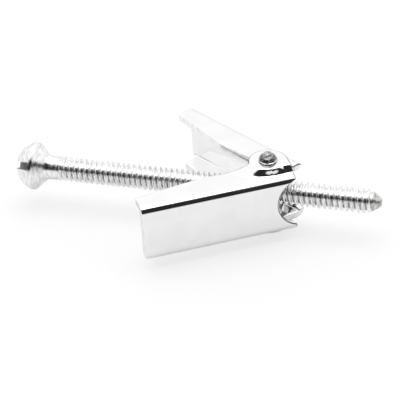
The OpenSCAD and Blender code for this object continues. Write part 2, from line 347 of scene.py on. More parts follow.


# %% [markdown]
# ## Painted shade in the thread
# A thread's root lies in shade, most on the side that light doesn't reach, and that shade is painted
# in. The thread's own Geometry Nodes will store how deep in the groove each point lies, in an
# attribute named groove. This material reads it, breaks the painted shade up with flecks, and fades it
# out with height.

# %% Painted shade in the thread
# how much painted shade covers the metal, its colour, and the groove's range that it fills
ROOT_SHADE, ROOT_SHADE_COLOUR, ROOT_RANGE = 0.78, (0.03, 0.03, 0.03, 1), (0.86, 1.0)
# the heights over the axis where the painted shade begins and is full
ROOT_SHADE_FROM, ROOT_SHADE_FULL = 1.2, 0.2
# its flecks: how large, which range of their noise, and how thin they get
FLECK_ACROSS, FLECK_RANGE, FLECK_LEAST = 0.45, (0.35, 0.60), 0.55


def paint_shade_in_grooves(material):
    """Paints shade into the thread's root: fully low on the screw, not on its top."""
    tree = material.node_tree
    shader = tree.nodes["Principled BSDF"]
    metal = shader.inputs["Base Color"].links[0].from_socket
    groove = tree.nodes.new("ShaderNodeAttribute")
    groove.attribute_name = "groove"
    place = tree.nodes.new("ShaderNodeTexCoord").outputs["Object"]
    height = tree.nodes.new("ShaderNodeSeparateXYZ")
    tree.links.new(place, height.inputs[0])
    low = remap(tree, height.outputs["Z"], ROOT_SHADE_FROM * MM, ROOT_SHADE_FULL * MM)
    speckle = noise_texture(tree, place, FLECK_ACROSS, GRAIN_DETAIL)
    flecks = remap(tree, speckle, *FLECK_RANGE, FLECK_LEAST, 1.0)
    root = remap(tree, groove.outputs["Fac"], *ROOT_RANGE)
    amount = math_node(tree, "MULTIPLY", math_node(tree, "MULTIPLY", root, flecks), low)
    share = math_node(tree, "MULTIPLY", amount, ROOT_SHADE)
    tree.links.new(colour_mix(tree, share, metal, ROOT_SHADE_COLOUR), shader.inputs["Base Color"])


# %% [markdown]
# ## The finishes
# Ten finishes, all from the same metal. The screw has turning marks, and painted shade in the root
# of its thread. Its slot is matt and painted dark as shade, and its end was sheared off and left
# rough. The sheet is the brightest, with cut edges a little duller, and painted shade on the outer
# edges at its pivot end. The nut is dull, and the side of its upper pin end is painted dark as shade.

# %% Finishes
bright_screw = plated_metal("bright_plated_screw", 0.90, 0.14, 0.21, 1.0, 0.7, 0.035, rings=4.0)
# paints shade into the thread's roots, low on the screw
paint_shade_in_grooves(bright_screw)
# painted shade inside the slot, which is also matt
slot_painted_shade = plated_metal("slot_painted_shade", 0.20, 0.20, 0.40, 0.4, 0.10, 0.02)
rough_end = plated_metal("rough_end", 0.62, 0.30, 0.30, 0.5, 0.30, 0.10, tint=(1.0, 0.98, 0.94))
bright_sheet = plated_metal("bright_plated_sheet", 0.92, 0.02, 0.11, 3.5, 0.8, 0.002)
sheared_edge = plated_metal("sheared_edge", 0.90, 0.06, 0.20, 0.8, 0.3, 0.0015)
# painted shade on the outer, rolled-over edges at the pivot end
shade_painted_edge = plated_metal("shade_painted_edge", 0.14, 0.30, 0.30, 0.8, 0.3, 0.003)
dull_nut = plated_metal("dull_plated_nut", 0.78, 0.08, 0.20, 0.8, 0.3, 0.02)
# painted shade on the side of the upper pin end
peen_painted_shade = plated_metal("peen_painted_shade", 0.20, 0.45, 0.26, 0.6, 0.3, 0.02)
hammered_stub = plated_metal("hammered_stub", 0.42, 0.60, 0.24, 0.3, 0.25, 0.12)
spring_steel = plated_metal("spring_steel", 0.60, 0.10, 0.24, 1.0, 0.2, 0.003)

# %% [markdown]
# ## Meshes from lists of points
# The pieces below are worked out in millimetres as lists of points and faces. One helper turns
# such lists into an object in metres at the origin, smooth-shaded, with its normals outward.
# A second one counts the edges that don't have a face on both sides: a closed piece has none.

# %% Mesh helpers
def add_object(name, mesh):
    """Puts a mesh into the scene as an object at the origin."""
    piece = bpy.data.objects.new(name, mesh)
    bpy.context.scene.collection.objects.link(piece)
    return piece


def make_piece(name, points, faces, *materials):
    """An object at the origin from points in millimetres."""
    mesh = bpy.data.meshes.new(name)
    mesh.from_pydata([[c * MM for c in p] for p in points], [], faces)
    mesh.validate()
    for material in materials:
        mesh.materials.append(material)
    work = bmesh.new()
    work.from_mesh(mesh)
    bmesh.ops.recalc_face_normals(work, faces=work.faces)
    work.to_mesh(mesh)
    work.free()
    mesh.shade_smooth()
    return add_object(name, mesh)


def print_size(piece):
    """Prints a piece's triangles and whether its mesh is closed."""
    work = bmesh.new()
    work.from_mesh(piece.data)
    open_edges = sum(1 for e in work.edges if len(e.link_faces) != 2)
    triangles = sum(len(f.verts) - 2 for f in work.faces)
    volume = work.calc_volume() / MM**3
    print(f"{piece.name}: {triangles} triangles, {open_edges} open edges, volume {volume:.1f} mm3")
    work.free()


# %% [markdown]
# ## Geometry Nodes trees
# The thread and the spring both follow a rule from end to end, so Geometry Nodes make them. Their
# trees begin and end alike. Each has a named input for every size, and a modifier is given its
# values by the inputs' identifiers, not their names. Each ends in real geometry with a material,
# because instances are lost when the model is exported. The result is taken as a plain mesh.
# Three more helpers do what both trees do in between: place points round an axis, put a place
# together from its parts, and move the points there.

# %% Helpers for Geometry Nodes
def named_tree(name, floats=(), integers=(), vectors=()):
    """A tree with an input for each name. Returns it, the inputs' identifiers by name, and the
    sockets that give their values inside the tree."""
    tree = bpy.data.node_groups.new(name, "GeometryNodeTree")
    tree.is_modifier = True
    tree.interface.new_socket("Geometry", in_out="INPUT", socket_type="NodeSocketGeometry")
    tree.interface.new_socket("Geometry", in_out="OUTPUT", socket_type="NodeSocketGeometry")
    sizes = {}
    for kind, names in (("Float", floats), ("Int", integers), ("Vector", vectors)):
        for each in names:
            socket = tree.interface.new_socket(each, in_out="INPUT", socket_type="NodeSocket" + kind)
            sizes[each] = socket.identifier
    return tree, sizes, tree.nodes.new("NodeGroupInput").outputs


def polar(tree, radius, angle):
    """The two flat parts of a point at this radius and angle."""
    parts = (math_node(tree, way, angle) for way in ("COSINE", "SINE"))
    return [math_node(tree, "MULTIPLY", radius, part) for part in parts]


def combine(tree, *parts):
    """A place put together from its three parts."""
    node = tree.nodes.new("ShaderNodeCombineXYZ")
    for part, socket in zip(parts, node.inputs):
        tree.links.new(part, socket)
    return node.outputs[0]


def moved(tree, geometry, place):
    """Moves the points of a geometry to a place that is worked out for each."""
    move = tree.nodes.new("GeometryNodeSetPosition")
    tree.links.new(geometry, move.inputs["Geometry"])
    tree.links.new(place, move.inputs["Position"])
    return move.outputs[0]


def end_tree(tree, geometry, material):
    """Ends a tree in real geometry with one material."""
    realize = tree.nodes.new("GeometryNodeRealizeInstances")
    tree.links.new(geometry, realize.inputs[0])
    finish = tree.nodes.new("GeometryNodeSetMaterial")
    finish.inputs["Material"].default_value = material
    tree.links.new(realize.outputs[0], finish.inputs["Geometry"])
    tree.links.new(finish.outputs[0], tree.nodes.new("NodeGroupOutput").inputs[0])


def grown_mesh(name, tree, sizes, values):
    """Runs a tree with these values and returns the result as a plain mesh."""
    holder = add_object(name, bpy.data.meshes.new(name))
    modifier = holder.modifiers.new(name, "NODES")
    modifier.node_group = tree
    for key, value in values.items():
        modifier[sizes[key]] = value
    graph = bpy.context.evaluated_depsgraph_get()
    mesh = bpy.data.meshes.new_from_object(holder.evaluated_get(graph))
    bpy.data.objects.remove(holder)
    print(name, len(mesh.vertices), "points")
    return mesh


# %% [markdown]
# ## The thread
# A rolled thread is one groove that winds round the shank. A screw-shaped sweep or a stack of
# rings could draw it, but both leave its ends to mend by hand. Here it is a flat grid: across the
# grid runs the turn, along it the length. Each row is slid along the screw by one pitch over a
# full turn, so that rows follow the helix and the crest stays a clean line. The wound grid is
# held between the thread's two ends, where its rows fall together and are merged.
#
# The groove's depth is a triangle wave of the row's number, softened at crest and root. It fades
# in after the neck, as a rolling die runs in. Over it lies an envelope, which is the neck at one
# end and the rounded tip at the other.

# %% Thread sizes
# where it starts, how deep it is, over what length it runs in, and the neck before it
THREAD_START, THREAD_DEPTH, RUN_IN = 3.2, 0.45, 1.2 * PITCH
NECK_R = THREAD_R - 0.03
# the rounded tip: its length, its radius at the end, and how far its side swells
TIP_LEN, TIP_R, TIP_SWELL = 1.9, 0.55, 0.1
# the shares of the wave that are flattened into the crest and the root
CREST_SHARE, ROOT_SHARE = 0.06, 0.86
# the grid's fineness, and the distance below which its points are merged
ROWS_PER_TURN, SIDES, MERGE = 10, 72, 0.002
turns_needed = math.ceil((TIP_X - THREAD_START) / PITCH) + 1
print(f"{(TIP_X - THREAD_START) / PITCH:.1f} turns of thread, {THREAD_DEPTH} mm deep")


# %% Groove and envelope
def groove_share(tree, given, turns, along):
    """How much of the thread's depth is cut: 0 on the crest, 1 in the root, less in the run-in."""
    wave = math_node(tree, "MULTIPLY", math_node(tree, "PINGPONG", turns, 0.5), 2.0)
    run_end = math_node(tree, "ADD", given["Start"], given["Run In"])
    fade = remap(tree, along, given["Start"], run_end)
    return math_node(tree, "MULTIPLY", remap(tree, wave, CREST_SHARE, ROOT_SHARE), fade)


def envelope(tree, given, along):
    """The largest radius: the neck at the start, the rounded tip at the end."""
    run_end = math_node(tree, "ADD", given["Start"], given["Run In"])
    neck = remap(tree, along, given["Start"], run_end, given["Neck Radius"], given["Outer Radius"])
    tip_start = math_node(tree, "SUBTRACT", given["End"], given["Tip Length"])
    past = math_node(tree, "SUBTRACT", along, tip_start)
    down = math_node(tree, "DIVIDE", past, given["Tip Length"], clamp=True)
    narrowing = math_node(tree, "SUBTRACT", given["Tip Radius"], given["Outer Radius"])
    cone = math_node(tree, "ADD", given["Outer Radius"], math_node(tree, "MULTIPLY", down, narrowing))
    bow = math_node(tree, "MULTIPLY", down, math_node(tree, "SUBTRACT", 1.0, down))
    hump = math_node(tree, "MULTIPLY", bow, math_node(tree, "MULTIPLY", given["Tip Swell"], 4.0))
    return math_node(tree, "MINIMUM", neck, math_node(tree, "ADD", cone, hump))


# %% Thread tree
def thread_tree():
    """Geometry Nodes that wind a grid into a right-hand thread along +X."""
    tree, sizes, given = named_tree(
        "rolled_thread",
        floats=("Start", "End", "Pitch", "Outer Radius", "Depth", "Neck Radius", "Run In",
                "Tip Length", "Tip Radius", "Tip Swell"),
        integers=("Rows Per Turn", "Rows", "Sides"))
    grid = tree.nodes.new("GeometryNodeMeshGrid")
    grid.inputs["Size X"].default_value = 1.0
    grid.inputs["Size Y"].default_value = 1.0
    tree.links.new(given["Rows"], grid.inputs["Vertices X"])
    tree.links.new(math_node(tree, "ADD", given["Sides"], 1.0), grid.inputs["Vertices Y"])
    xyz = tree.nodes.new("ShaderNodeSeparateXYZ")
    tree.links.new(tree.nodes.new("GeometryNodeInputPosition").outputs[0], xyz.inputs[0])
    share = math_node(tree, "ADD", xyz.outputs[0], 0.5)
    turn = math_node(tree, "ADD", xyz.outputs[1], 0.5)

    # distance along the screw: whole rows, one pitch early, slid on by one pitch a turn
    row = math_node(tree, "MULTIPLY", share, math_node(tree, "SUBTRACT", given["Rows"], 1.0))
    turns = math_node(tree, "DIVIDE", row, given["Rows Per Turn"])
    wound = math_node(tree, "ADD", math_node(tree, "SUBTRACT", turns, 1.0), turn)
    free = math_node(tree, "ADD", given["Start"], math_node(tree, "MULTIPLY", wound, given["Pitch"]))
    along = math_node(tree, "MINIMUM", math_node(tree, "MAXIMUM", free, given["Start"]), given["End"])
    groove = groove_share(tree, given, turns, along)
    threaded = math_node(tree, "SUBTRACT", given["Outer Radius"],
                         math_node(tree, "MULTIPLY", groove, given["Depth"]))
    radius = math_node(tree, "MINIMUM", threaded, envelope(tree, given, along))

    # the groove's depth is stored before the points move, while it can still be worked out
    store = tree.nodes.new("GeometryNodeStoreNamedAttribute")
    store.data_type, store.domain = "FLOAT", "POINT"
    store.inputs["Name"].default_value = "groove"
    tree.links.new(grid.outputs["Mesh"], store.inputs["Geometry"])
    tree.links.new(groove, store.inputs["Value"])
    angle = math_node(tree, "MULTIPLY", turn, 2 * math.pi)
    place = combine(tree, along, *polar(tree, radius, angle))
    merge = tree.nodes.new("GeometryNodeMergeByDistance")
    merge.inputs["Distance"].default_value = MERGE * MM
    tree.links.new(moved(tree, store.outputs[0], place), merge.inputs["Geometry"])
    end_tree(tree, merge.outputs[0], bright_screw)
    return tree, sizes


# %% Thread
tree, sizes = thread_tree()
thread_mesh = grown_mesh("thread", tree, sizes, {
    "Start": THREAD_START * MM, "End": TIP_X * MM, "Pitch": PITCH * MM, "Outer Radius": THREAD_R * MM,
    "Depth": THREAD_DEPTH * MM, "Neck Radius": NECK_R * MM, "Run In": RUN_IN * MM,
    "Tip Length": TIP_LEN * MM, "Tip Radius": TIP_R * MM, "Tip Swell": TIP_SWELL * MM,
    "Rows Per Turn": ROWS_PER_TURN, "Rows": turns_needed * ROWS_PER_TURN + 1, "Sides": SIDES})

# %% [markdown]
# ## Turned shapes
# The head and the nut's pins are round, and a turner thinks of them as an outline held against
# the axis. So does this helper: it takes the outline as pairs of distance and radius, and sweeps
# it round. Small curves between straight parts are drawn by pulling a line towards its corner.

# %% Turned shapes
def sweep(profile, sides, jitter=None):
    """Points and faces of a closed shape from (along, radius) pairs, swept round the first axis.
    A pair with radius 0 becomes one point. jitter(point) may move each point."""
    points, rings = [], []
    for along, radius in profile:
        count = 1 if radius == 0 else sides
        rings.append(range(len(points), len(points) + count))
        for k in range(count):
            turn = 2 * math.pi * k / sides
            point = Vector((along, radius * math.cos(turn), radius * math.sin(turn)))
            points.append(jitter(point) if jitter else point)
    faces = []
    for one, two in zip(rings, rings[1:]):
        for k in range(sides):
            a, b = one[k % len(one)], one[(k + 1) % len(one)]
            c, d = two[(k + 1) % len(two)], two[k % len(two)]
            faces.append(tuple(dict.fromkeys((a, b, c, d))))
    if len(rings[0]) > 1:
        faces.append(tuple(reversed(rings[0])))
    if len(rings[-1]) > 1:
        faces.append(tuple(rings[-1]))
    return points, faces


def curve_corner(start, corner, end, steps=5):
    """Points of a smooth curve from start to end that a corner pulls towards itself."""
    start, corner, end = (Vector(p) for p in (start, corner, end))
    shares = (k / steps for k in range(steps + 1))
    return [tuple(start.lerp(corner, s).lerp(corner.lerp(end, s), s)) for s in shares]


# %% Cutting, bevelling and finishing
# points closer than this are one point
WELD = 0.001


def carve(piece, tool, operation):
    """Applies an exact boolean with another object, which is then removed."""
    modifier = piece.modifiers.new("carve", "BOOLEAN")
    modifier.operation, modifier.solver, modifier.object = operation, "EXACT", tool
    mesh = bpy.data.meshes.new_from_object(piece.evaluated_get(bpy.context.evaluated_depsgraph_get()))
    piece.modifiers.clear()
    piece.data = mesh
    bpy.data.objects.remove(tool)


def bevel_sharp(piece, width, degrees):
    """Rounds every edge of a piece that turns by more than these degrees; width in millimetres."""
    work = bmesh.new()
    work.from_mesh(piece.data)
    bmesh.ops.remove_doubles(work, verts=work.verts, dist=WELD * MM)
    edges = [e for e in work.edges
             if len(e.link_faces) == 2 and e.calc_face_angle() > math.radians(degrees)]
    bmesh.ops.bevel(work, geom=edges, offset=width * MM, segments=2, profile=0.5, affect="EDGES",
                    clamp_overlap=True)
    work.to_mesh(piece.data)
    work.free()
    piece.data.shade_smooth()


def finish_mesh(work, name, materials, finish):
    """Ends a working mesh as a smooth one; finish(face) gives the number of a face's material."""
    bmesh.ops.recalc_face_normals(work, faces=work.faces)
    mesh = bpy.data.meshes.new(name)
    work.to_mesh(mesh)
    work.free()
    for material in materials:
        mesh.materials.append(material)
    for face in mesh.polygons:
        face.material_index = finish(face)
    mesh.shade_smooth()
    return mesh


# %% [markdown]
# ## The head
# The head is upset cold between dies, so its rim's corners and the foot of its cone are rounded
# a little. Its outline is walked from the top of the dome to the neck. The slot is then sawn with
# a boolean, and its edges are bevelled so that they catch the light. The flat end of the neck is
# taken away first, because the thread joins on there and the bevel must not touch that ring.

# %% Head
DOME_H, DOME_STEPS = 3.05, 16
# the rim's thickness, and the softness of its corners and of the cone's foot
RIM_T, RIM_EDGE, CONE_SOFT, NECK_SOFT = 0.5, 0.1, 0.4, 0.7
dome_rise = DOME_H - RIM_T
dome_ball = (HEAD_R**2 + dome_rise**2) / (2 * dome_rise)
rim_angle = math.asin((HEAD_R - RIM_EDGE) / dome_ball)
cone_end = HEAD_R - THREAD_R

bends = [rim_angle * k / DOME_STEPS for k in range(1, DOME_STEPS + 1)]
dome = [(-DOME_H + dome_ball * (1 - math.cos(bend)), dome_ball * math.sin(bend)) for bend in bends]
head_profile = [(-DOME_H, 0)] + dome[:-1]
head_profile += curve_corner(dome[-1], (-RIM_T, HEAD_R), (-RIM_T + RIM_EDGE, HEAD_R), 3)
head_profile += curve_corner((-RIM_EDGE, HEAD_R), (0, HEAD_R), (RIM_EDGE, HEAD_R - RIM_EDGE), 3)
head_profile += curve_corner((cone_end - CONE_SOFT, THREAD_R + CONE_SOFT), (cone_end, NECK_R),
                             (cone_end + NECK_SOFT, NECK_R))
head_profile.append((THREAD_START, NECK_R))
head = make_piece("head", *sweep(head_profile, SIDES), bright_screw)
print(f"dome from a ball of {dome_ball:.2f} mm radius, cone to {cone_end:.2f} mm under the rim")


# %% Slot
# its width, its depth from the top of the dome, its direction, and the bevel of its edges
SLOT_W, SLOT_DEPTH, SLOT_TURN, SLOT_EDGE = 1.1, 1.3, math.radians(-30), 0.05


def saw_blade():
    """A box as wide as the slot, turned about the screw, that reaches down to the slot's bottom."""
    low, high = (-2 * DOME_H, -2 * HEAD_R, -SLOT_W / 2), (SLOT_DEPTH - DOME_H, 2 * HEAD_R, SLOT_W / 2)
    turn = Matrix.Rotation(SLOT_TURN, 4, "X")
    corners = [turn @ Vector((x, y, z)) for x in (low[0], high[0]) for y in (low[1], high[1])
               for z in (low[2], high[2])]
    faces = [(0, 1, 3, 2), (4, 6, 7, 5), (0, 4, 5, 1), (2, 3, 7, 6), (0, 2, 6, 4), (1, 5, 7, 3)]
    return make_piece("saw", corners, faces)


def open_neck():
    """Takes away the flat end of the neck, where the thread will join on."""
    work = bmesh.new()
    work.from_mesh(head.data)
    end = [f for f in work.faces if min(v.co.x for v in f.verts) > (THREAD_START - WELD) * MM]
    bmesh.ops.delete(work, geom=end, context="FACES_ONLY")
    work.to_mesh(head.data)
    work.free()


carve(head, saw_blade(), "DIFFERENCE")
open_neck()
bevel_sharp(head, SLOT_EDGE, 50)
print_size(head)

# %% [markdown]
# ## Head and thread in one
# The real screw is one piece of steel, so the head's open neck and the thread's first ring, which
# lie on the same points, are welded. The tip is closed with a fan of triangles. Which finish a
# face gets follows from its place: the slot is painted dark as shade, and the last millimetre is
# rough.

# %% Screw
# how much of the end is rough
END_ROUGH = 1.1


def screw_finish(face):
    """The number of a face's finish: 1 in the slot, with painted shade, 2 at the rough end, 0
    elsewhere.
    """
    centre = face.center / MM
    across = Vector((0, -math.sin(SLOT_TURN), math.cos(SLOT_TURN)))
    if centre.x < -RIM_T and abs(centre.dot(across)) < SLOT_W / 2 + 2 * WELD:
        return 1
    return 2 if centre.x > TIP_X - END_ROUGH else 0


def join_screw():
    """Joins the thread to the head's open neck and closes the tip."""
    work = bmesh.new()
    work.from_mesh(thread_mesh)
    work.from_mesh(head.data)
    bmesh.ops.remove_doubles(work, verts=work.verts, dist=WELD * MM)
    rim = [e for e in work.edges
           if e.is_boundary and min(v.co.x for v in e.verts) > (TIP_X - 10 * WELD) * MM]
    cap = bmesh.ops.contextual_create(work, geom=rim)["faces"]
    bmesh.ops.poke(work, faces=cap)
    bpy.data.objects.remove(head)
    mesh = finish_mesh(work, "screw_shape", (bright_screw, slot_painted_shade, rough_end), screw_finish)
    return add_object("finished_screw", mesh)


finished_screw = join_screw()
print_size(finished_screw)
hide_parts("screw")
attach(finished_screw, "screw")

# %% [markdown]
# ## The wings
# Each wing is pressed from flat sheet, and it is made the same way here. A box with its edges
# rounded would look like a channel too, but its ears, its notch and its even thickness would all
# have to be cut by hand. So there is first a flat blank: an outline in (x, v) with the holes for
# the pin, where v runs across the sheet from the middle of the web, round the bend and out along
# the flange. The blank is filled with triangles and then folded point by point. A point's depth
# below the sheet's outer face is folded with it, and so both faces, and the cut edges between
# them, come from one rule.

# %% Sizes of the blank
# from the pin to the tip and to the heel, and the outer radius of the bends
WING_LEN, HEEL_LEN, BEND_R = 19.6, 2.75, 1.2
# a flange's straight edge begins this far along the wing and this far past the pin's line, and
# ends at the tip this far short of that line
EDGE_X, EDGE_DEEP, EDGE_TIP = 9.0, 0.6, 0.9
# the notch in the web for the screw, the tip's lower corner, and the softness of all others
NOTCH_R, CORNER_R, SOFT_CORNER = 3.8, 1.1, 0.3
# an ear's arc begins at this angle, in degrees
EAR_START = -12

HALF_WEB = WING_H / 2 - BEND_R
BEND_ARC = BEND_R * math.pi / 2
BEND_END = HALF_WEB + BEND_ARC
FOLD_Y = WEB_Y - BEND_R
print(f"web {2 * HALF_WEB:.1f} mm across between the bends, each bend {BEND_ARC:.2f} mm of sheet")


# %% Places on the blank
def blank_v(y):
    """The v of a flange's point that has this y once folded; also gives the y of a v."""
    return BEND_END + FOLD_Y - y


def web_v(z):
    """The v of a point of the web or the bend that lies at this height once folded."""
    over = min(1, max(0, z - HALF_WEB) / BEND_R)
    return min(z, HALF_WEB) + BEND_R * math.asin(over)


# %% Helpers for outlines
# corners that turn by more degrees than this are rounded, over at most this share of a side
SHARP_TURN, MOST_CUT = 25, 0.45


def round_off(loop, cut):
    """Rounds every sharp corner of a closed outline."""
    count = len(loop)
    done = []
    for i, corner in enumerate(loop):
        before, after = loop[i - 1], loop[(i + 1) % count]
        turn = (corner - before).angle(after - corner)
        if turn < math.radians(SHARP_TURN):
            done.append(corner)
            continue
        start = corner.lerp(before, min(MOST_CUT, cut / (corner - before).length))
        end = corner.lerp(after, min(MOST_CUT, cut / (after - corner).length))
        done += [Vector(p) for p in curve_corner(start, corner, end)]
    return done


def divide(loop, longest):
    """The same closed outline with no segment longer than this, as rows of x and v."""
    done = []
    for one, two in zip(loop, loop[1:] + loop[:1]):
        parts = max(1, math.ceil((two - one).length / longest))
        done += [one.lerp(two, k / parts) for k in range(parts)]
    return np.array([tuple(p) for p in done])


def arc(radius, first, last, steps):
    """Points on a circle round the pin, from one angle to another, in degrees."""
    angles = (math.radians(first + (last - first) * k / steps) for k in range(steps + 1))
    return [Vector((radius * math.cos(a), radius * math.sin(a))) for a in angles]


# %% [markdown]
# ## The outline of a blank
# The outline is walked once round: one flange from tip to heel, the web's notch, the other
# flange back, and the tip. The notch and the tip's lower corner are round as seen square on to
# the folded wing's web, so their points are unrolled from there onto the flat sheet. The lower
# corner is rounded more than the upper one, as the blanking die has it.

# %% Outline of a blank
def flange_edge(heel, ear_r, tip_x):
    """The free edge of a flange from tip to heel, in (x, y): straight edge, round ear, heel."""
    slope = (EDGE_TIP + EDGE_DEEP) / (WING_LEN - EDGE_X)
    root_y = -0.1
    root_x = math.sqrt(ear_r**2 - root_y**2)
    path = [Vector((tip_x, EDGE_TIP - slope * (WING_LEN - tip_x))), Vector((EDGE_X, -EDGE_DEEP)),
            Vector((root_x + 0.6, -0.16))]
    ear = arc(ear_r, EAR_START, EAR_START, 1)[0]
    path += [Vector(p) for p in curve_corner((root_x + 0.45, -0.15), (root_x, root_y), ear)]
    return path + heel


def notch_edge(steps=20):
    """The web's edge at the pivot end, cut in an arc round the screw, in (x, v)."""
    half = math.sqrt(NOTCH_R**2 - (NOTCH_R - HEEL_LEN)**2)
    path = []
    for k in range(2 * steps + 1):
        rise = (1 - k / steps) * half
        x = math.sqrt(NOTCH_R**2 - rise * rise) - NOTCH_R
        z = rise + WING_DROP
        path.append(Vector((x, math.copysign(web_v(abs(z)), z))))
    return path


def tip_corner(steps=8):
    """The rounded lower corner of the tip, in (x, v)."""
    path = []
    for k in range(steps + 1):
        turn = math.radians(90 * k / steps)
        z = CORNER_R * math.cos(turn) + HALF_WEB + BEND_R - CORNER_R
        path.append(Vector((WING_LEN - CORNER_R + CORNER_R * math.sin(turn), -web_v(z))))
    return path


def blank_outline(heel, ear_r):
    """The outline of a wing's blank, walked counterclockwise."""
    upper = [Vector((p.x, blank_v(p.y))) for p in flange_edge(heel, ear_r, WING_LEN)]
    lower = [Vector((p.x, -blank_v(p.y))) for p in flange_edge(heel, ear_r, WING_LEN - CORNER_R)]
    return round_off(upper + notch_edge() + lower[::-1] + tip_corner(), SOFT_CORNER)


# %% [markdown]
# ## Measuring on the blank
# The next steps ask three things of an outline: how far a point is from it, whether a point lies
# inside it, and which way is outwards along it. Blender answers such questions for meshes, but
# not for bare outlines. So numpy works them out, for thousands of points at once.

# %% Measuring on the blank
# keeps a division by nothing from failing
TINY = 1e-12


def distance_to(points, loop):
    """The distance of each point to the nearest segment of a closed outline."""
    start = loop[None]
    step = np.roll(loop, -1, axis=0)[None] - start
    rel = points[:, None] - start
    share = np.clip((rel * step).sum(2) / np.maximum((step * step).sum(2), TINY), 0, 1)
    return np.linalg.norm(rel - share[..., None] * step, axis=2).min(1)


def inside(points, loop):
    """True for each point that lies inside a closed outline."""
    x, y = points[:, None, 0], points[:, None, 1]
    one, two = loop[None], np.roll(loop, -1, axis=0)[None]
    crosses = (one[..., 1] > y) != (two[..., 1] > y)
    drop = np.where(two[..., 1] == one[..., 1], TINY, two[..., 1] - one[..., 1])
    at = one[..., 0] + (y - one[..., 1]) / drop * (two[..., 0] - one[..., 0])
    return (crosses & (x < at)).sum(1) % 2 == 1


def outward(loop):
    """For each point of an outline, the step that moves its edge outwards by one millimetre."""
    before = loop - np.roll(loop, 1, axis=0)
    after = np.roll(loop, -1, axis=0) - loop
    sides = []
    for way in (before, after):
        way = way / np.linalg.norm(way, axis=1, keepdims=True)
        sides.append(np.stack((way[:, 1], -way[:, 0]), axis=1))
    return (sides[0] + sides[1]) / (1 + (sides[0] * sides[1]).sum(1))[:, None]


# %% [markdown]
# ## Raised ears
# The front wing's ears lie outside the back wing's, so they are pressed outwards by one sheet
# and a little clearance. Between the flat ear and the flange the sheet slopes. The slope isn't
# drawn: it follows from two outlines, where the ear is still flat and where the slope ends. A
# point's height is its share of the way between them, eased at both ends as a press leaves it.

# %% Raised ears
# the flat part's radius, the narrow slope beside it, and the long ramp towards the tip
FLAT_R, STEP_RUN, RAMP_LEN = 2.35, 0.25, 6.1
EAR_LIFT = EAR_GAP + SHEET_T
beyond = HEEL_LEN + 2
foot_y = FLAT_R + STEP_RUN
EAR_FOOT = np.array([
    (-beyond, foot_y + 0.6), (-HEEL_LEN, foot_y + 0.45), (FLAT_R / 3, foot_y), (FLAT_R, foot_y - 0.15),
    (0.65 * RAMP_LEN, 0.75 * FLAT_R), (RAMP_LEN, 0.2 * FLAT_R), (RAMP_LEN + 1, -EDGE_DEEP),
    (RAMP_LEN + 1, -beyond), (-beyond, -beyond)])
EAR_FLAT = np.array([
    (-beyond, 0.8 * FLAT_R), (0, 0.8 * FLAT_R), (FLAT_R, 0), (FLAT_R, -beyond), (-beyond, -beyond)])


def ear_lift(points):
    """How far a flange is pressed outwards at each (x, y): all the way on the ear, then a ramp."""
    to_foot = np.where(inside(points, EAR_FOOT), distance_to(points, EAR_FOOT), 0)
    to_disc = np.maximum(np.linalg.norm(points, axis=1) - FLAT_R, 0)
    to_flat = np.where(inside(points, EAR_FLAT), 0, np.minimum(distance_to(points, EAR_FLAT), to_disc))
    share = to_foot / np.maximum(to_foot + to_flat, 1e-9)
    return EAR_LIFT * share * share * (3 - 2 * share)


print(f"ears raised by {EAR_LIFT:.1f} mm, down again {RAMP_LEN} mm from the pin")


# %% [markdown]
# ## Folding
# Folding is one formula. Over the web, v is height. Over the bend, it is an angle. Beyond that,
# it is distance down the flange. A point that lies deeper in the sheet goes round the bend on a
# smaller radius, which keeps the sheet equally thick. A cut edge isn't sharp either: blanking
# rolls it over on one side, and its profile here is a short list of insets and depths.

# %% Folding
# how far a cut edge is rounded on the sheet's outer and on its inner face
EDGE_OUT, EDGE_IN = 0.14, 0.08


def fold(blank, depth, raised, mirror):
    """Folds points of the blank, each this deep in the sheet, and puts them on the nut's pins."""
    x, v = blank[:, 0], blank[:, 1]
    out = np.abs(v)
    bend = np.clip((out - HALF_WEB) / BEND_R, 0, math.pi / 2)
    flange = np.maximum(out - HALF_WEB - BEND_ARC, 0)
    y = FOLD_Y + (BEND_R - depth) * np.cos(bend) - flange
    z = np.minimum(out, HALF_WEB) + (BEND_R - depth) * np.sin(bend)
    if raised:
        z = z + ear_lift(np.stack((x, y), axis=1))
    turn = math.pi + SPREAD
    east = PIN_X + x * math.cos(turn) - y * math.sin(turn)
    north = (x * math.sin(turn) + y * math.cos(turn)) * mirror
    return np.stack((east, north, np.copysign(z, v) - WING_DROP), axis=1)


def rounding(radius, angles):
    """(inset, depth) pairs round the edge of a face, from its level (0) to the cut edge."""
    return [(radius * (1 - math.sin(a)), radius * (1 - math.cos(a))) for a in angles]


rolled_over = rounding(EDGE_OUT, (0, math.pi / 6, math.pi / 3, math.pi / 2))
sharper = rounding(EDGE_IN, (math.pi / 2, math.pi / 4, 0))
EDGE_RINGS = rolled_over + [(inset, SHEET_T - depth) for inset, depth in sharper]
print(len(EDGE_RINGS), "rings of points round each cut edge")

# %% [markdown]
# ## Filling the blank
# The points inside the outline decide how smoothly it folds. They are laid in rows along the
# bends, thinly on flat parts, and closely where the ears slope. A constrained Delaunay fill
# then joins them, and keeps every edge of the outline and the holes.

# %% Points inside the blank
# the spacing on flat parts, on the ears and on their slopes, and the distance to any edge
GRID, EAR_GRID, SLOPE_GRID, EDGE_CLEAR = 0.4, 0.16, 0.08, 0.1
# a place this near to fully down or fully raised isn't on the slope
LEVEL_SHARE = 0.003
raised_to = RAMP_LEN + 1.2
ear_end = blank_v(-HEEL_LEN)


def plain_grid():
    """Points in rows along the wing: close over the bends, wider on the web and flanges."""
    bends = [HALF_WEB + BEND_ARC * k / 8 for k in range(9)] + [HALF_WEB - 0.1, BEND_END + 0.1]
    web = list(np.linspace(0, HALF_WEB - 0.3, 6))
    flange = list(np.arange(BEND_END + GRID, ear_end, GRID))
    rows = [side * v for v in bends + web + flange for side in (-1, 1)]
    return [(x, v) for x in np.arange(-HEEL_LEN, WING_LEN, GRID) for v in rows]


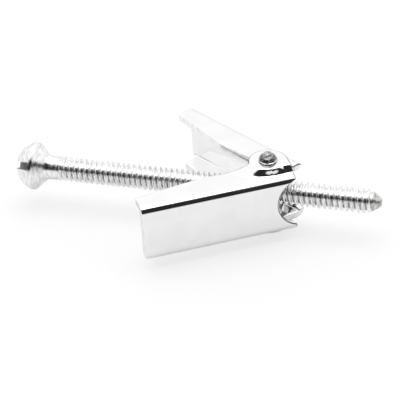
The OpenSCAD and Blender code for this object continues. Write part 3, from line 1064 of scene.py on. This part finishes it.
def ear_points():
    """Points where the ears are raised: close on their flat parts, closest on the slopes."""
    points = []
    for spacing, sloping in ((EAR_GRID, False), (SLOPE_GRID, True)):
        x, v = np.meshgrid(np.arange(-HEEL_LEN, raised_to, spacing),
                           np.arange(BEND_END + 0.14, ear_end, spacing))
        spots = np.stack((x.ravel(), v.ravel()), axis=1)
        rise = ear_lift(np.stack((spots[:, 0], blank_v(spots[:, 1])), axis=1)) / EAR_LIFT
        spots = spots[((rise > LEVEL_SHARE) & (rise < 1 - LEVEL_SHARE)) == sloping]
        points += [(x, side * v) for x, v in spots for side in (-1, 1)]
    return points


def inner_points(outline, holes, raised):
    """All points inside the blank that keep clear of its outline and its holes."""
    grid = plain_grid()
    if raised:
        grid = [(x, v) for x, v in grid if x > raised_to or abs(v) < BEND_END + 0.05] + ear_points()
    grid = np.unique(np.round(np.array(grid), 5), axis=0)
    keep = inside(grid, outline) & (distance_to(grid, outline) > EDGE_CLEAR)
    for hole in holes:
        keep &= ~inside(grid, hole) & (distance_to(grid, hole) > EDGE_CLEAR)
    return grid[keep]


# %% Fill
# the longest step along a cut edge, and the points round a pin's hole
LONGEST, HOLE_SIDES = 0.2, 48


def cut_loops(heel, ear_r):
    """The closed cut edges of a blank: its outline, and the pin's hole in each flange."""
    outline = divide(blank_outline(heel, ear_r), LONGEST)
    circle = arc(PIN_R + PIN_GAP, 0, -360, HOLE_SIDES)[:-1]
    holes = [np.array([(p.x, side * (blank_v(0) + side * p.y)) for p in circle]) for side in (1, -1)]
    return [outline] + holes


def fill_blank(loops, grid):
    """Fills the first loop, but not the others, with triangles; also returns the loops' edges."""
    edges, ends = [], [0]
    for loop in loops:
        start, count = ends[-1], len(loop)
        edges += [(start + k, start + (k + 1) % count) for k in range(count)]
        ends.append(start + count)
    flat = [Vector(p) for p in np.concatenate(loops + [grid])]
    result = delaunay_2d_cdt(flat, edges, [], 1, 1e-6)
    assert len(result[0]) == len(flat), "the blank's outline crosses itself"
    holes = list(zip(ends[1:], ends[2:]))
    triangles = [tuple(f) for f in result[2]
                 if not any(min(f) >= low and max(f) < high for low, high in holes)]
    return triangles, edges


# %% [markdown]
# ## From blank to wing
# The filled blank is folded twice, as the sheet's outer and inner face, and the rings of the
# cut edge are strung between them. The cut edges get a finish of their own. Round the ears and
# the notch, their outer, rolled-over part is painted dark, as painted shade.

# %% Pressed wing
def pressed_wing(name, heel, ear_r, raised, mirror):
    """A wing pressed from a flat blank: heel shapes its pivot end, raised lifts its ears."""
    loops = cut_loops(heel, ear_r)
    steps = [outward(loop) for loop in loops]
    insets = [[loop - step * inset for loop, step in zip(loops, steps)] for inset, _ in EDGE_RINGS]
    grid = inner_points(insets[0][0], insets[0][1:], raised)
    triangles, edges = fill_blank(insets[0], grid)
    insets[0].append(grid)
    insets[-1].append(grid)
    layers = [fold(np.concatenate(ring), depth, raised, mirror)
              for ring, (_, depth) in zip(insets, EDGE_RINGS)]

    # the outer face, the inner face, and strips between the rings of the cut edge
    starts = [int(s) for s in np.cumsum([0] + [len(layer) for layer in layers])]
    faces = triangles + [tuple(i + starts[-2] for i in reversed(f)) for f in triangles]
    skin = len(faces)
    for one, two in zip(starts[:-2], starts[1:-1]):
        faces += [(one + a, one + b, two + b, two + a) for a, b in edges]
    piece = make_piece(name, np.concatenate(layers), faces, bright_sheet, sheared_edge, shade_painted_edge)

    outline = insets[0][0]
    # edges this near the pivot end get painted shade on their outer, rolled-over part
    shade_painted_to = RAMP_LEN + 1 if raised else 0.3
    shade_painted = [k < len(outline) and outline[k][0] < shade_painted_to for k, _ in edges]
    for k, face in enumerate(piece.data.polygons[skin:]):
        strip, place = divmod(k, len(edges))
        face.material_index = 2 if strip < len(rolled_over) - 1 and shade_painted[place] else 1
    print_size(piece)
    return piece


# %% Front wing
outer_heel = arc(HEEL_LEN, EAR_START, -180, 30)[1:]
front_wing = pressed_wing("finished_front_wing", outer_heel, HEEL_LEN, True, 1)
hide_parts("outer_wing")
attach(front_wing, "front_wing")

# %% [markdown]
# ## The back wing
# The back wing is the same pressing on the other side, but with flat ears that lie inside the
# front wing's. Its ears are a little smaller, and its heel runs straight from the ear's arc to a
# square corner.

# %% Back wing
INNER_EAR_R, HEEL_CUT = 2.2, 2.75
corner = Vector((-HEEL_LEN, HEEL_CUT))
tangent = math.degrees(math.atan2(corner.y, corner.x) + math.acos(INNER_EAR_R / corner.length)) - 360
inner_heel = arc(INNER_EAR_R, EAR_START, tangent, 28)[1:] + [corner]
back_wing = pressed_wing("finished_back_wing", inner_heel, INNER_EAR_R, False, -1)
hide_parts("inner_wing")
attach(back_wing, "back_wing")

# %% [markdown]
# ## Room for the spring
# The nut and the spring share the space between the wings. The spring's coil lies low on the
# nut's hub, and the barrel begins above it. So the coil is worked out first: where its legs
# touch the wings gives the angle at which they leave the coil, and that gives its height.

# %% Room for the spring
INNER_FACE = WING_H / 2 - SHEET_T
# the wire, its clearance to all round it, the coil's radius, and how far the legs reach
WIRE_R, SPRING_GAP, COIL_R, LEG_LEN = 0.2, 0.05, 1.6, 9.0
LEG_Y = WEB_Y - SHEET_T - SPRING_GAP - WIRE_R
LEG_ANGLE, LEG_REACH = math.atan2(LEG_Y, LEG_LEN), math.hypot(LEG_LEN, LEG_Y)
LEAVE = math.pi - SPREAD - (LEG_ANGLE + math.acos(COIL_R / LEG_REACH))
COIL_LOW = SPRING_GAP + WIRE_R - INNER_FACE
COIL_HIGH = COIL_LOW + (2 * WIRE_R + SPRING_GAP) * (LEAVE + math.pi) / math.pi
BARREL_LOW = COIL_HIGH + WIRE_R + SPRING_GAP
print(f"coil from z = {COIL_LOW:.2f} to {COIL_HIGH:.2f} mm, left at {math.degrees(LEAVE):.0f} degrees")

# %% [markdown]
# ## The nut
# The nut's barrel sits between the wings, with the screw's thread through it. Its two pins pass
# through all four ears, and their ends were hammered over to keep the wings on. The barrel is an
# outline pulled up, and the pins are turned. Booleans join them and bore them, because the
# pieces cross at right angles. The hammering is what makes the ends uneven: noise moves their
# points in and out a little.

# %% Sizes of the nut
# the barrel and its flats' distance, the hub, and the hammered ends with the stub on top
BARREL_R, BARREL_W, BARREL_EDGE, HUB_R = 2.8, 3.8, 0.15, 1.35
PEEN_R, STUB_R, STUB_FOOT = 1.4, 0.8, 0.66
# the height where the barrel ends, just under the ears, and where the hammered ends begin, just
# over them
SHOULDER_Z = INNER_FACE - EAR_GAP
PEEN_Z = WING_H / 2 + SHEET_T + 2 * EAR_GAP
# what the hammer did: coarse and fine noise, each with its fineness and its height, and how far
# the side was drawn in
COARSE, FINE, PULLED_IN = (2.4, 0.12), (6.0, 0.03), 0.1
print(f"barrel from z = {BARREL_LOW:.2f} to {SHOULDER_Z:.2f} mm, ends peened from {PEEN_Z:.2f} mm")


def hammered(point):
    """Moves a point of a pin's end by up to a tenth of a millimetre, and leaves the rest."""
    over = min(1, max(0, (abs(point.x) - PEEN_Z - 0.02) / 0.1))
    wobble = noise.noise(point * COARSE[0]) * COARSE[1] + noise.noise(point * FINE[0]) * FINE[1]
    sideways = Vector((0, point.y, point.z)).normalized() if point.yz.length > 0.01 else Vector()
    top = max(0, wobble) * (1 if point.x < 0 else -1)
    return point + (sideways * (wobble - PULLED_IN) + Vector((top, 0, 0))) * over


# %% Outline of the pins
def upper_end(top):
    """(height, radius) pairs of the upper end: a steep domed side, a shelf, and the stub."""
    foot, neck = (PEEN_Z + 0.56, PEEN_R - 0.27), (PEEN_Z + STUB_FOOT, STUB_R + 0.04)
    profile = [(PEEN_Z, PEEN_R - 0.06)]
    profile += curve_corner((PEEN_Z + 0.04, PEEN_R - 0.02), (PEEN_Z + 0.30, PEEN_R - 0.10), foot, 8)
    profile += [tuple(Vector(foot).lerp(Vector(neck), k / 3)) for k in range(1, 4)]
    profile += [(PEEN_Z + STUB_FOOT + 0.06, STUB_R - 0.03), (top - 0.2, STUB_R - 0.08)]
    profile += curve_corner((top - 0.14, STUB_R - 0.1), (top, STUB_R - 0.15), (top, STUB_R * 0.5), 4)
    return profile + [(top, STUB_R * 0.25), (top, 0)]


def pin_outline():
    """(height, radius) pairs of the lower end, the pins and the hub, and the upper end."""
    low, high = nut_low.z + WING_DROP, nut_high.z + WING_DROP
    hub_end = BARREL_LOW + 0.4
    profile = [(low, 0)] + [(low, PEEN_R * 0.62 * k / 5) for k in range(1, 6)]
    profile += curve_corner((low, PEEN_R * 0.68), (low, PEEN_R), (-PEEN_Z - 0.06, PEEN_R), 6)
    profile += [(-PEEN_Z, PEEN_R - 0.06), (-PEEN_Z, PIN_R), (-SHOULDER_Z, PIN_R)]
    profile += [(-SHOULDER_Z, HUB_R), (hub_end, HUB_R), (hub_end, PIN_R), (PEEN_Z, PIN_R)]
    return profile + upper_end(high)


# %% Parts of the nut
# points round each, and the bore's clearance and half length
PIN_SIDES, BORE_SIDES, BORE_GAP, BORE_REACH = 48, 64, 0.05, 4
# how high above the ear the painted shade on the hammered end's side begins
PEEN_SHADE_FROM = 0.12


def barrel_block():
    """The barrel with its two flats, its sharp edges broken."""
    reach = math.degrees(math.acos(BARREL_W / 2 / BARREL_R))
    outline = arc(BARREL_R, reach, 180 - reach, 16) + arc(BARREL_R, 180 + reach, 360 - reach, 16)
    points = [(p.x, p.y, z) for z in (BARREL_LOW, SHOULDER_Z) for p in outline]
    count = len(outline)
    faces = [tuple(reversed(range(count))), tuple(range(count, 2 * count))]
    faces += [(k, (k + 1) % count, count + (k + 1) % count, count + k) for k in range(count)]
    barrel = make_piece("barrel", points, faces, dull_nut)
    bevel_sharp(barrel, BARREL_EDGE, 30)
    return barrel


def hammered_pins():
    """Both pins, the hub and the hammered ends, upright."""
    points, faces = sweep(pin_outline(), PIN_SIDES, hammered)
    return make_piece("pins", [(p[2], p[1], p[0]) for p in points], faces, dull_nut)


def screw_bore():
    """A cylinder along the screw, with a little clearance."""
    radius = THREAD_R + BORE_GAP
    profile = [(-BORE_REACH, 0), (-BORE_REACH, radius), (BORE_REACH, radius), (BORE_REACH, 0)]
    points, faces = sweep(profile, BORE_SIDES)
    return make_piece("bore", [(p[0], p[1], p[2] + WING_DROP) for p in points], faces)


def nut_finish(face):
    """The number of a face's finish: 1 on the upper end's side, with painted shade, 2 on its stub, 0
    elsewhere.
    """
    over = face.center.z / MM + WING_DROP - PEEN_Z
    return 2 if over > STUB_FOOT else 1 if over > PEEN_SHADE_FROM else 0


# %% Nut
# edges that turn by more degrees than this stay sharp in shading
NUT_SHARP = 40


def build_nut():
    """Joins the barrel and the pins, bores them, and puts them in place."""
    barrel = barrel_block()
    carve(barrel, hammered_pins(), "UNION")
    carve(barrel, screw_bore(), "DIFFERENCE")
    work = bmesh.new()
    work.from_mesh(barrel.data)
    bmesh.ops.remove_doubles(work, verts=work.verts, dist=WELD * MM)
    bmesh.ops.translate(work, verts=work.verts, vec=(PIN_X * MM, 0, -WING_DROP * MM))
    bpy.data.objects.remove(barrel)
    mesh = finish_mesh(work, "nut_shape", (dull_nut, peen_painted_shade, hammered_stub), nut_finish)
    mesh.set_sharp_from_angle(angle=math.radians(NUT_SHARP))
    return add_object("finished_nut", mesh)


finished_nut = build_nut()
print_size(finished_nut)
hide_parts("trunnion_nut")
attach(finished_nut, "nut")

# %% [markdown]
# ## The spring
# A wire wound round the hub, with a straight leg along the inside of each wing: the rule is a
# helix with a straight end. The spring is made as two halves that overlap in the coil, one
# riding on each wing. The coil is round the pin, so each half can turn with its wing and still
# lie in the coil. Each half stays rigid: the wire's own bending isn't drawn.

# %% Wire tree
WIRE_SIDES = 16


def coil_point(tree, given, index):
    """A point of the coil by its index: 1 is where the leg ends, the last is the coil's end."""
    last = math_node(tree, "SUBTRACT", given["Steps"], 1.0)
    share = math_node(tree, "DIVIDE", math_node(tree, "SUBTRACT", index, 1.0),
                      math_node(tree, "SUBTRACT", last, 1.0))
    turned = math_node(tree, "MULTIPLY", share, given["Sweep"])
    angle = math_node(tree, "ADD", given["Leg Angle"], turned)
    risen = math_node(tree, "MULTIPLY", share, given["Rise"])
    height = math_node(tree, "ADD", given["Leg Height"], risen)
    return combine(tree, *polar(tree, given["Coil Radius"], angle), height)


def wire_tree():
    """Geometry Nodes that draw one straight leg and part of a coil, with wire round them."""
    tree, sizes, given = named_tree(
        "spring_wire",
        floats=("Coil Radius", "Leg Angle", "Sweep", "Leg Height", "Rise", "Wire Radius"),
        integers=("Steps",), vectors=("Centre", "Leg End"))
    line = tree.nodes.new("GeometryNodeMeshLine")
    tree.links.new(given["Steps"], line.inputs["Count"])
    index = tree.nodes.new("GeometryNodeInputIndex").outputs[0]
    choose = tree.nodes.new("GeometryNodeSwitch")
    choose.input_type = "VECTOR"
    tree.links.new(math_node(tree, "LESS_THAN", index, 0.5), choose.inputs["Switch"])
    tree.links.new(coil_point(tree, given, index), choose.inputs["False"])
    tree.links.new(given["Leg End"], choose.inputs["True"])
    place = tree.nodes.new("ShaderNodeVectorMath")
    tree.links.new(choose.outputs[0], place.inputs[0])
    tree.links.new(given["Centre"], place.inputs[1])

    # the points become a curve, and the wire's round section is swept along it
    curve = tree.nodes.new("GeometryNodeMeshToCurve")
    tree.links.new(moved(tree, line.outputs[0], place.outputs[0]), curve.inputs[0])
    ring = tree.nodes.new("GeometryNodeCurvePrimitiveCircle")
    ring.inputs["Resolution"].default_value = WIRE_SIDES
    tree.links.new(given["Wire Radius"], ring.inputs["Radius"])
    wire = tree.nodes.new("GeometryNodeCurveToMesh")
    wire.inputs["Fill Caps"].default_value = True
    tree.links.new(curve.outputs[0], wire.inputs["Curve"])
    tree.links.new(ring.outputs[0], wire.inputs["Profile Curve"])
    end_tree(tree, wire.outputs[0], spring_steel)
    return tree, sizes


# %% Spring
# how far the halves overlap in the coil, the points along each, and the sharp ends' angle
OVERLAP, COIL_STEPS, WIRE_SHARP = math.radians(35), 72, math.radians(50)
# the back half's wire is a hair thinner, so that the halves don't share a surface
THINNER = 0.003
tree, sizes = wire_tree()
leg_x, leg_y = LEG_REACH * math.cos(LEG_ANGLE + SPREAD), LEG_REACH * math.sin(LEG_ANGLE + SPREAD)
half_turn = LEAVE + math.pi
# how far each half rises along the pin, its overlap included
climb = (COIL_HIGH - COIL_LOW) / 2 * (1 + OVERLAP / half_turn)
for name, body, side, level, wire_r in (("front", "front_wing", -1, COIL_LOW, WIRE_R),
                                        ("back", "back_wing", 1, COIL_HIGH, WIRE_R - THINNER)):
    z = level - WING_DROP
    mesh = grown_mesh(f"{name}_spring_half", tree, sizes, {
        "Coil Radius": COIL_R * MM, "Leg Angle": side * LEAVE, "Sweep": -side * (half_turn + OVERLAP),
        "Leg Height": z * MM, "Rise": -side * climb * MM, "Wire Radius": wire_r * MM,
        "Centre": (PIN_X * MM, 0, 0), "Leg End": (-leg_x * MM, side * leg_y * MM, z * MM),
        "Steps": COIL_STEPS})
    mesh.shade_smooth()
    mesh.set_sharp_from_angle(angle=WIRE_SHARP)
    half = add_object(f"finished_{name}_spring_half", mesh)
    print_size(half)
    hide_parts("spring")
    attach(half, body)

# %% [markdown]
# ## Finish
# A finished piece may be rounder than the solid model's, but it mustn't grow past it, or the
# real clearances would be wrong. So the solid model's box is printed.

# %% Size of the solid model
print("solid model", [tuple(round(c / MM, 2) for c in corner) for corner in cad_box])
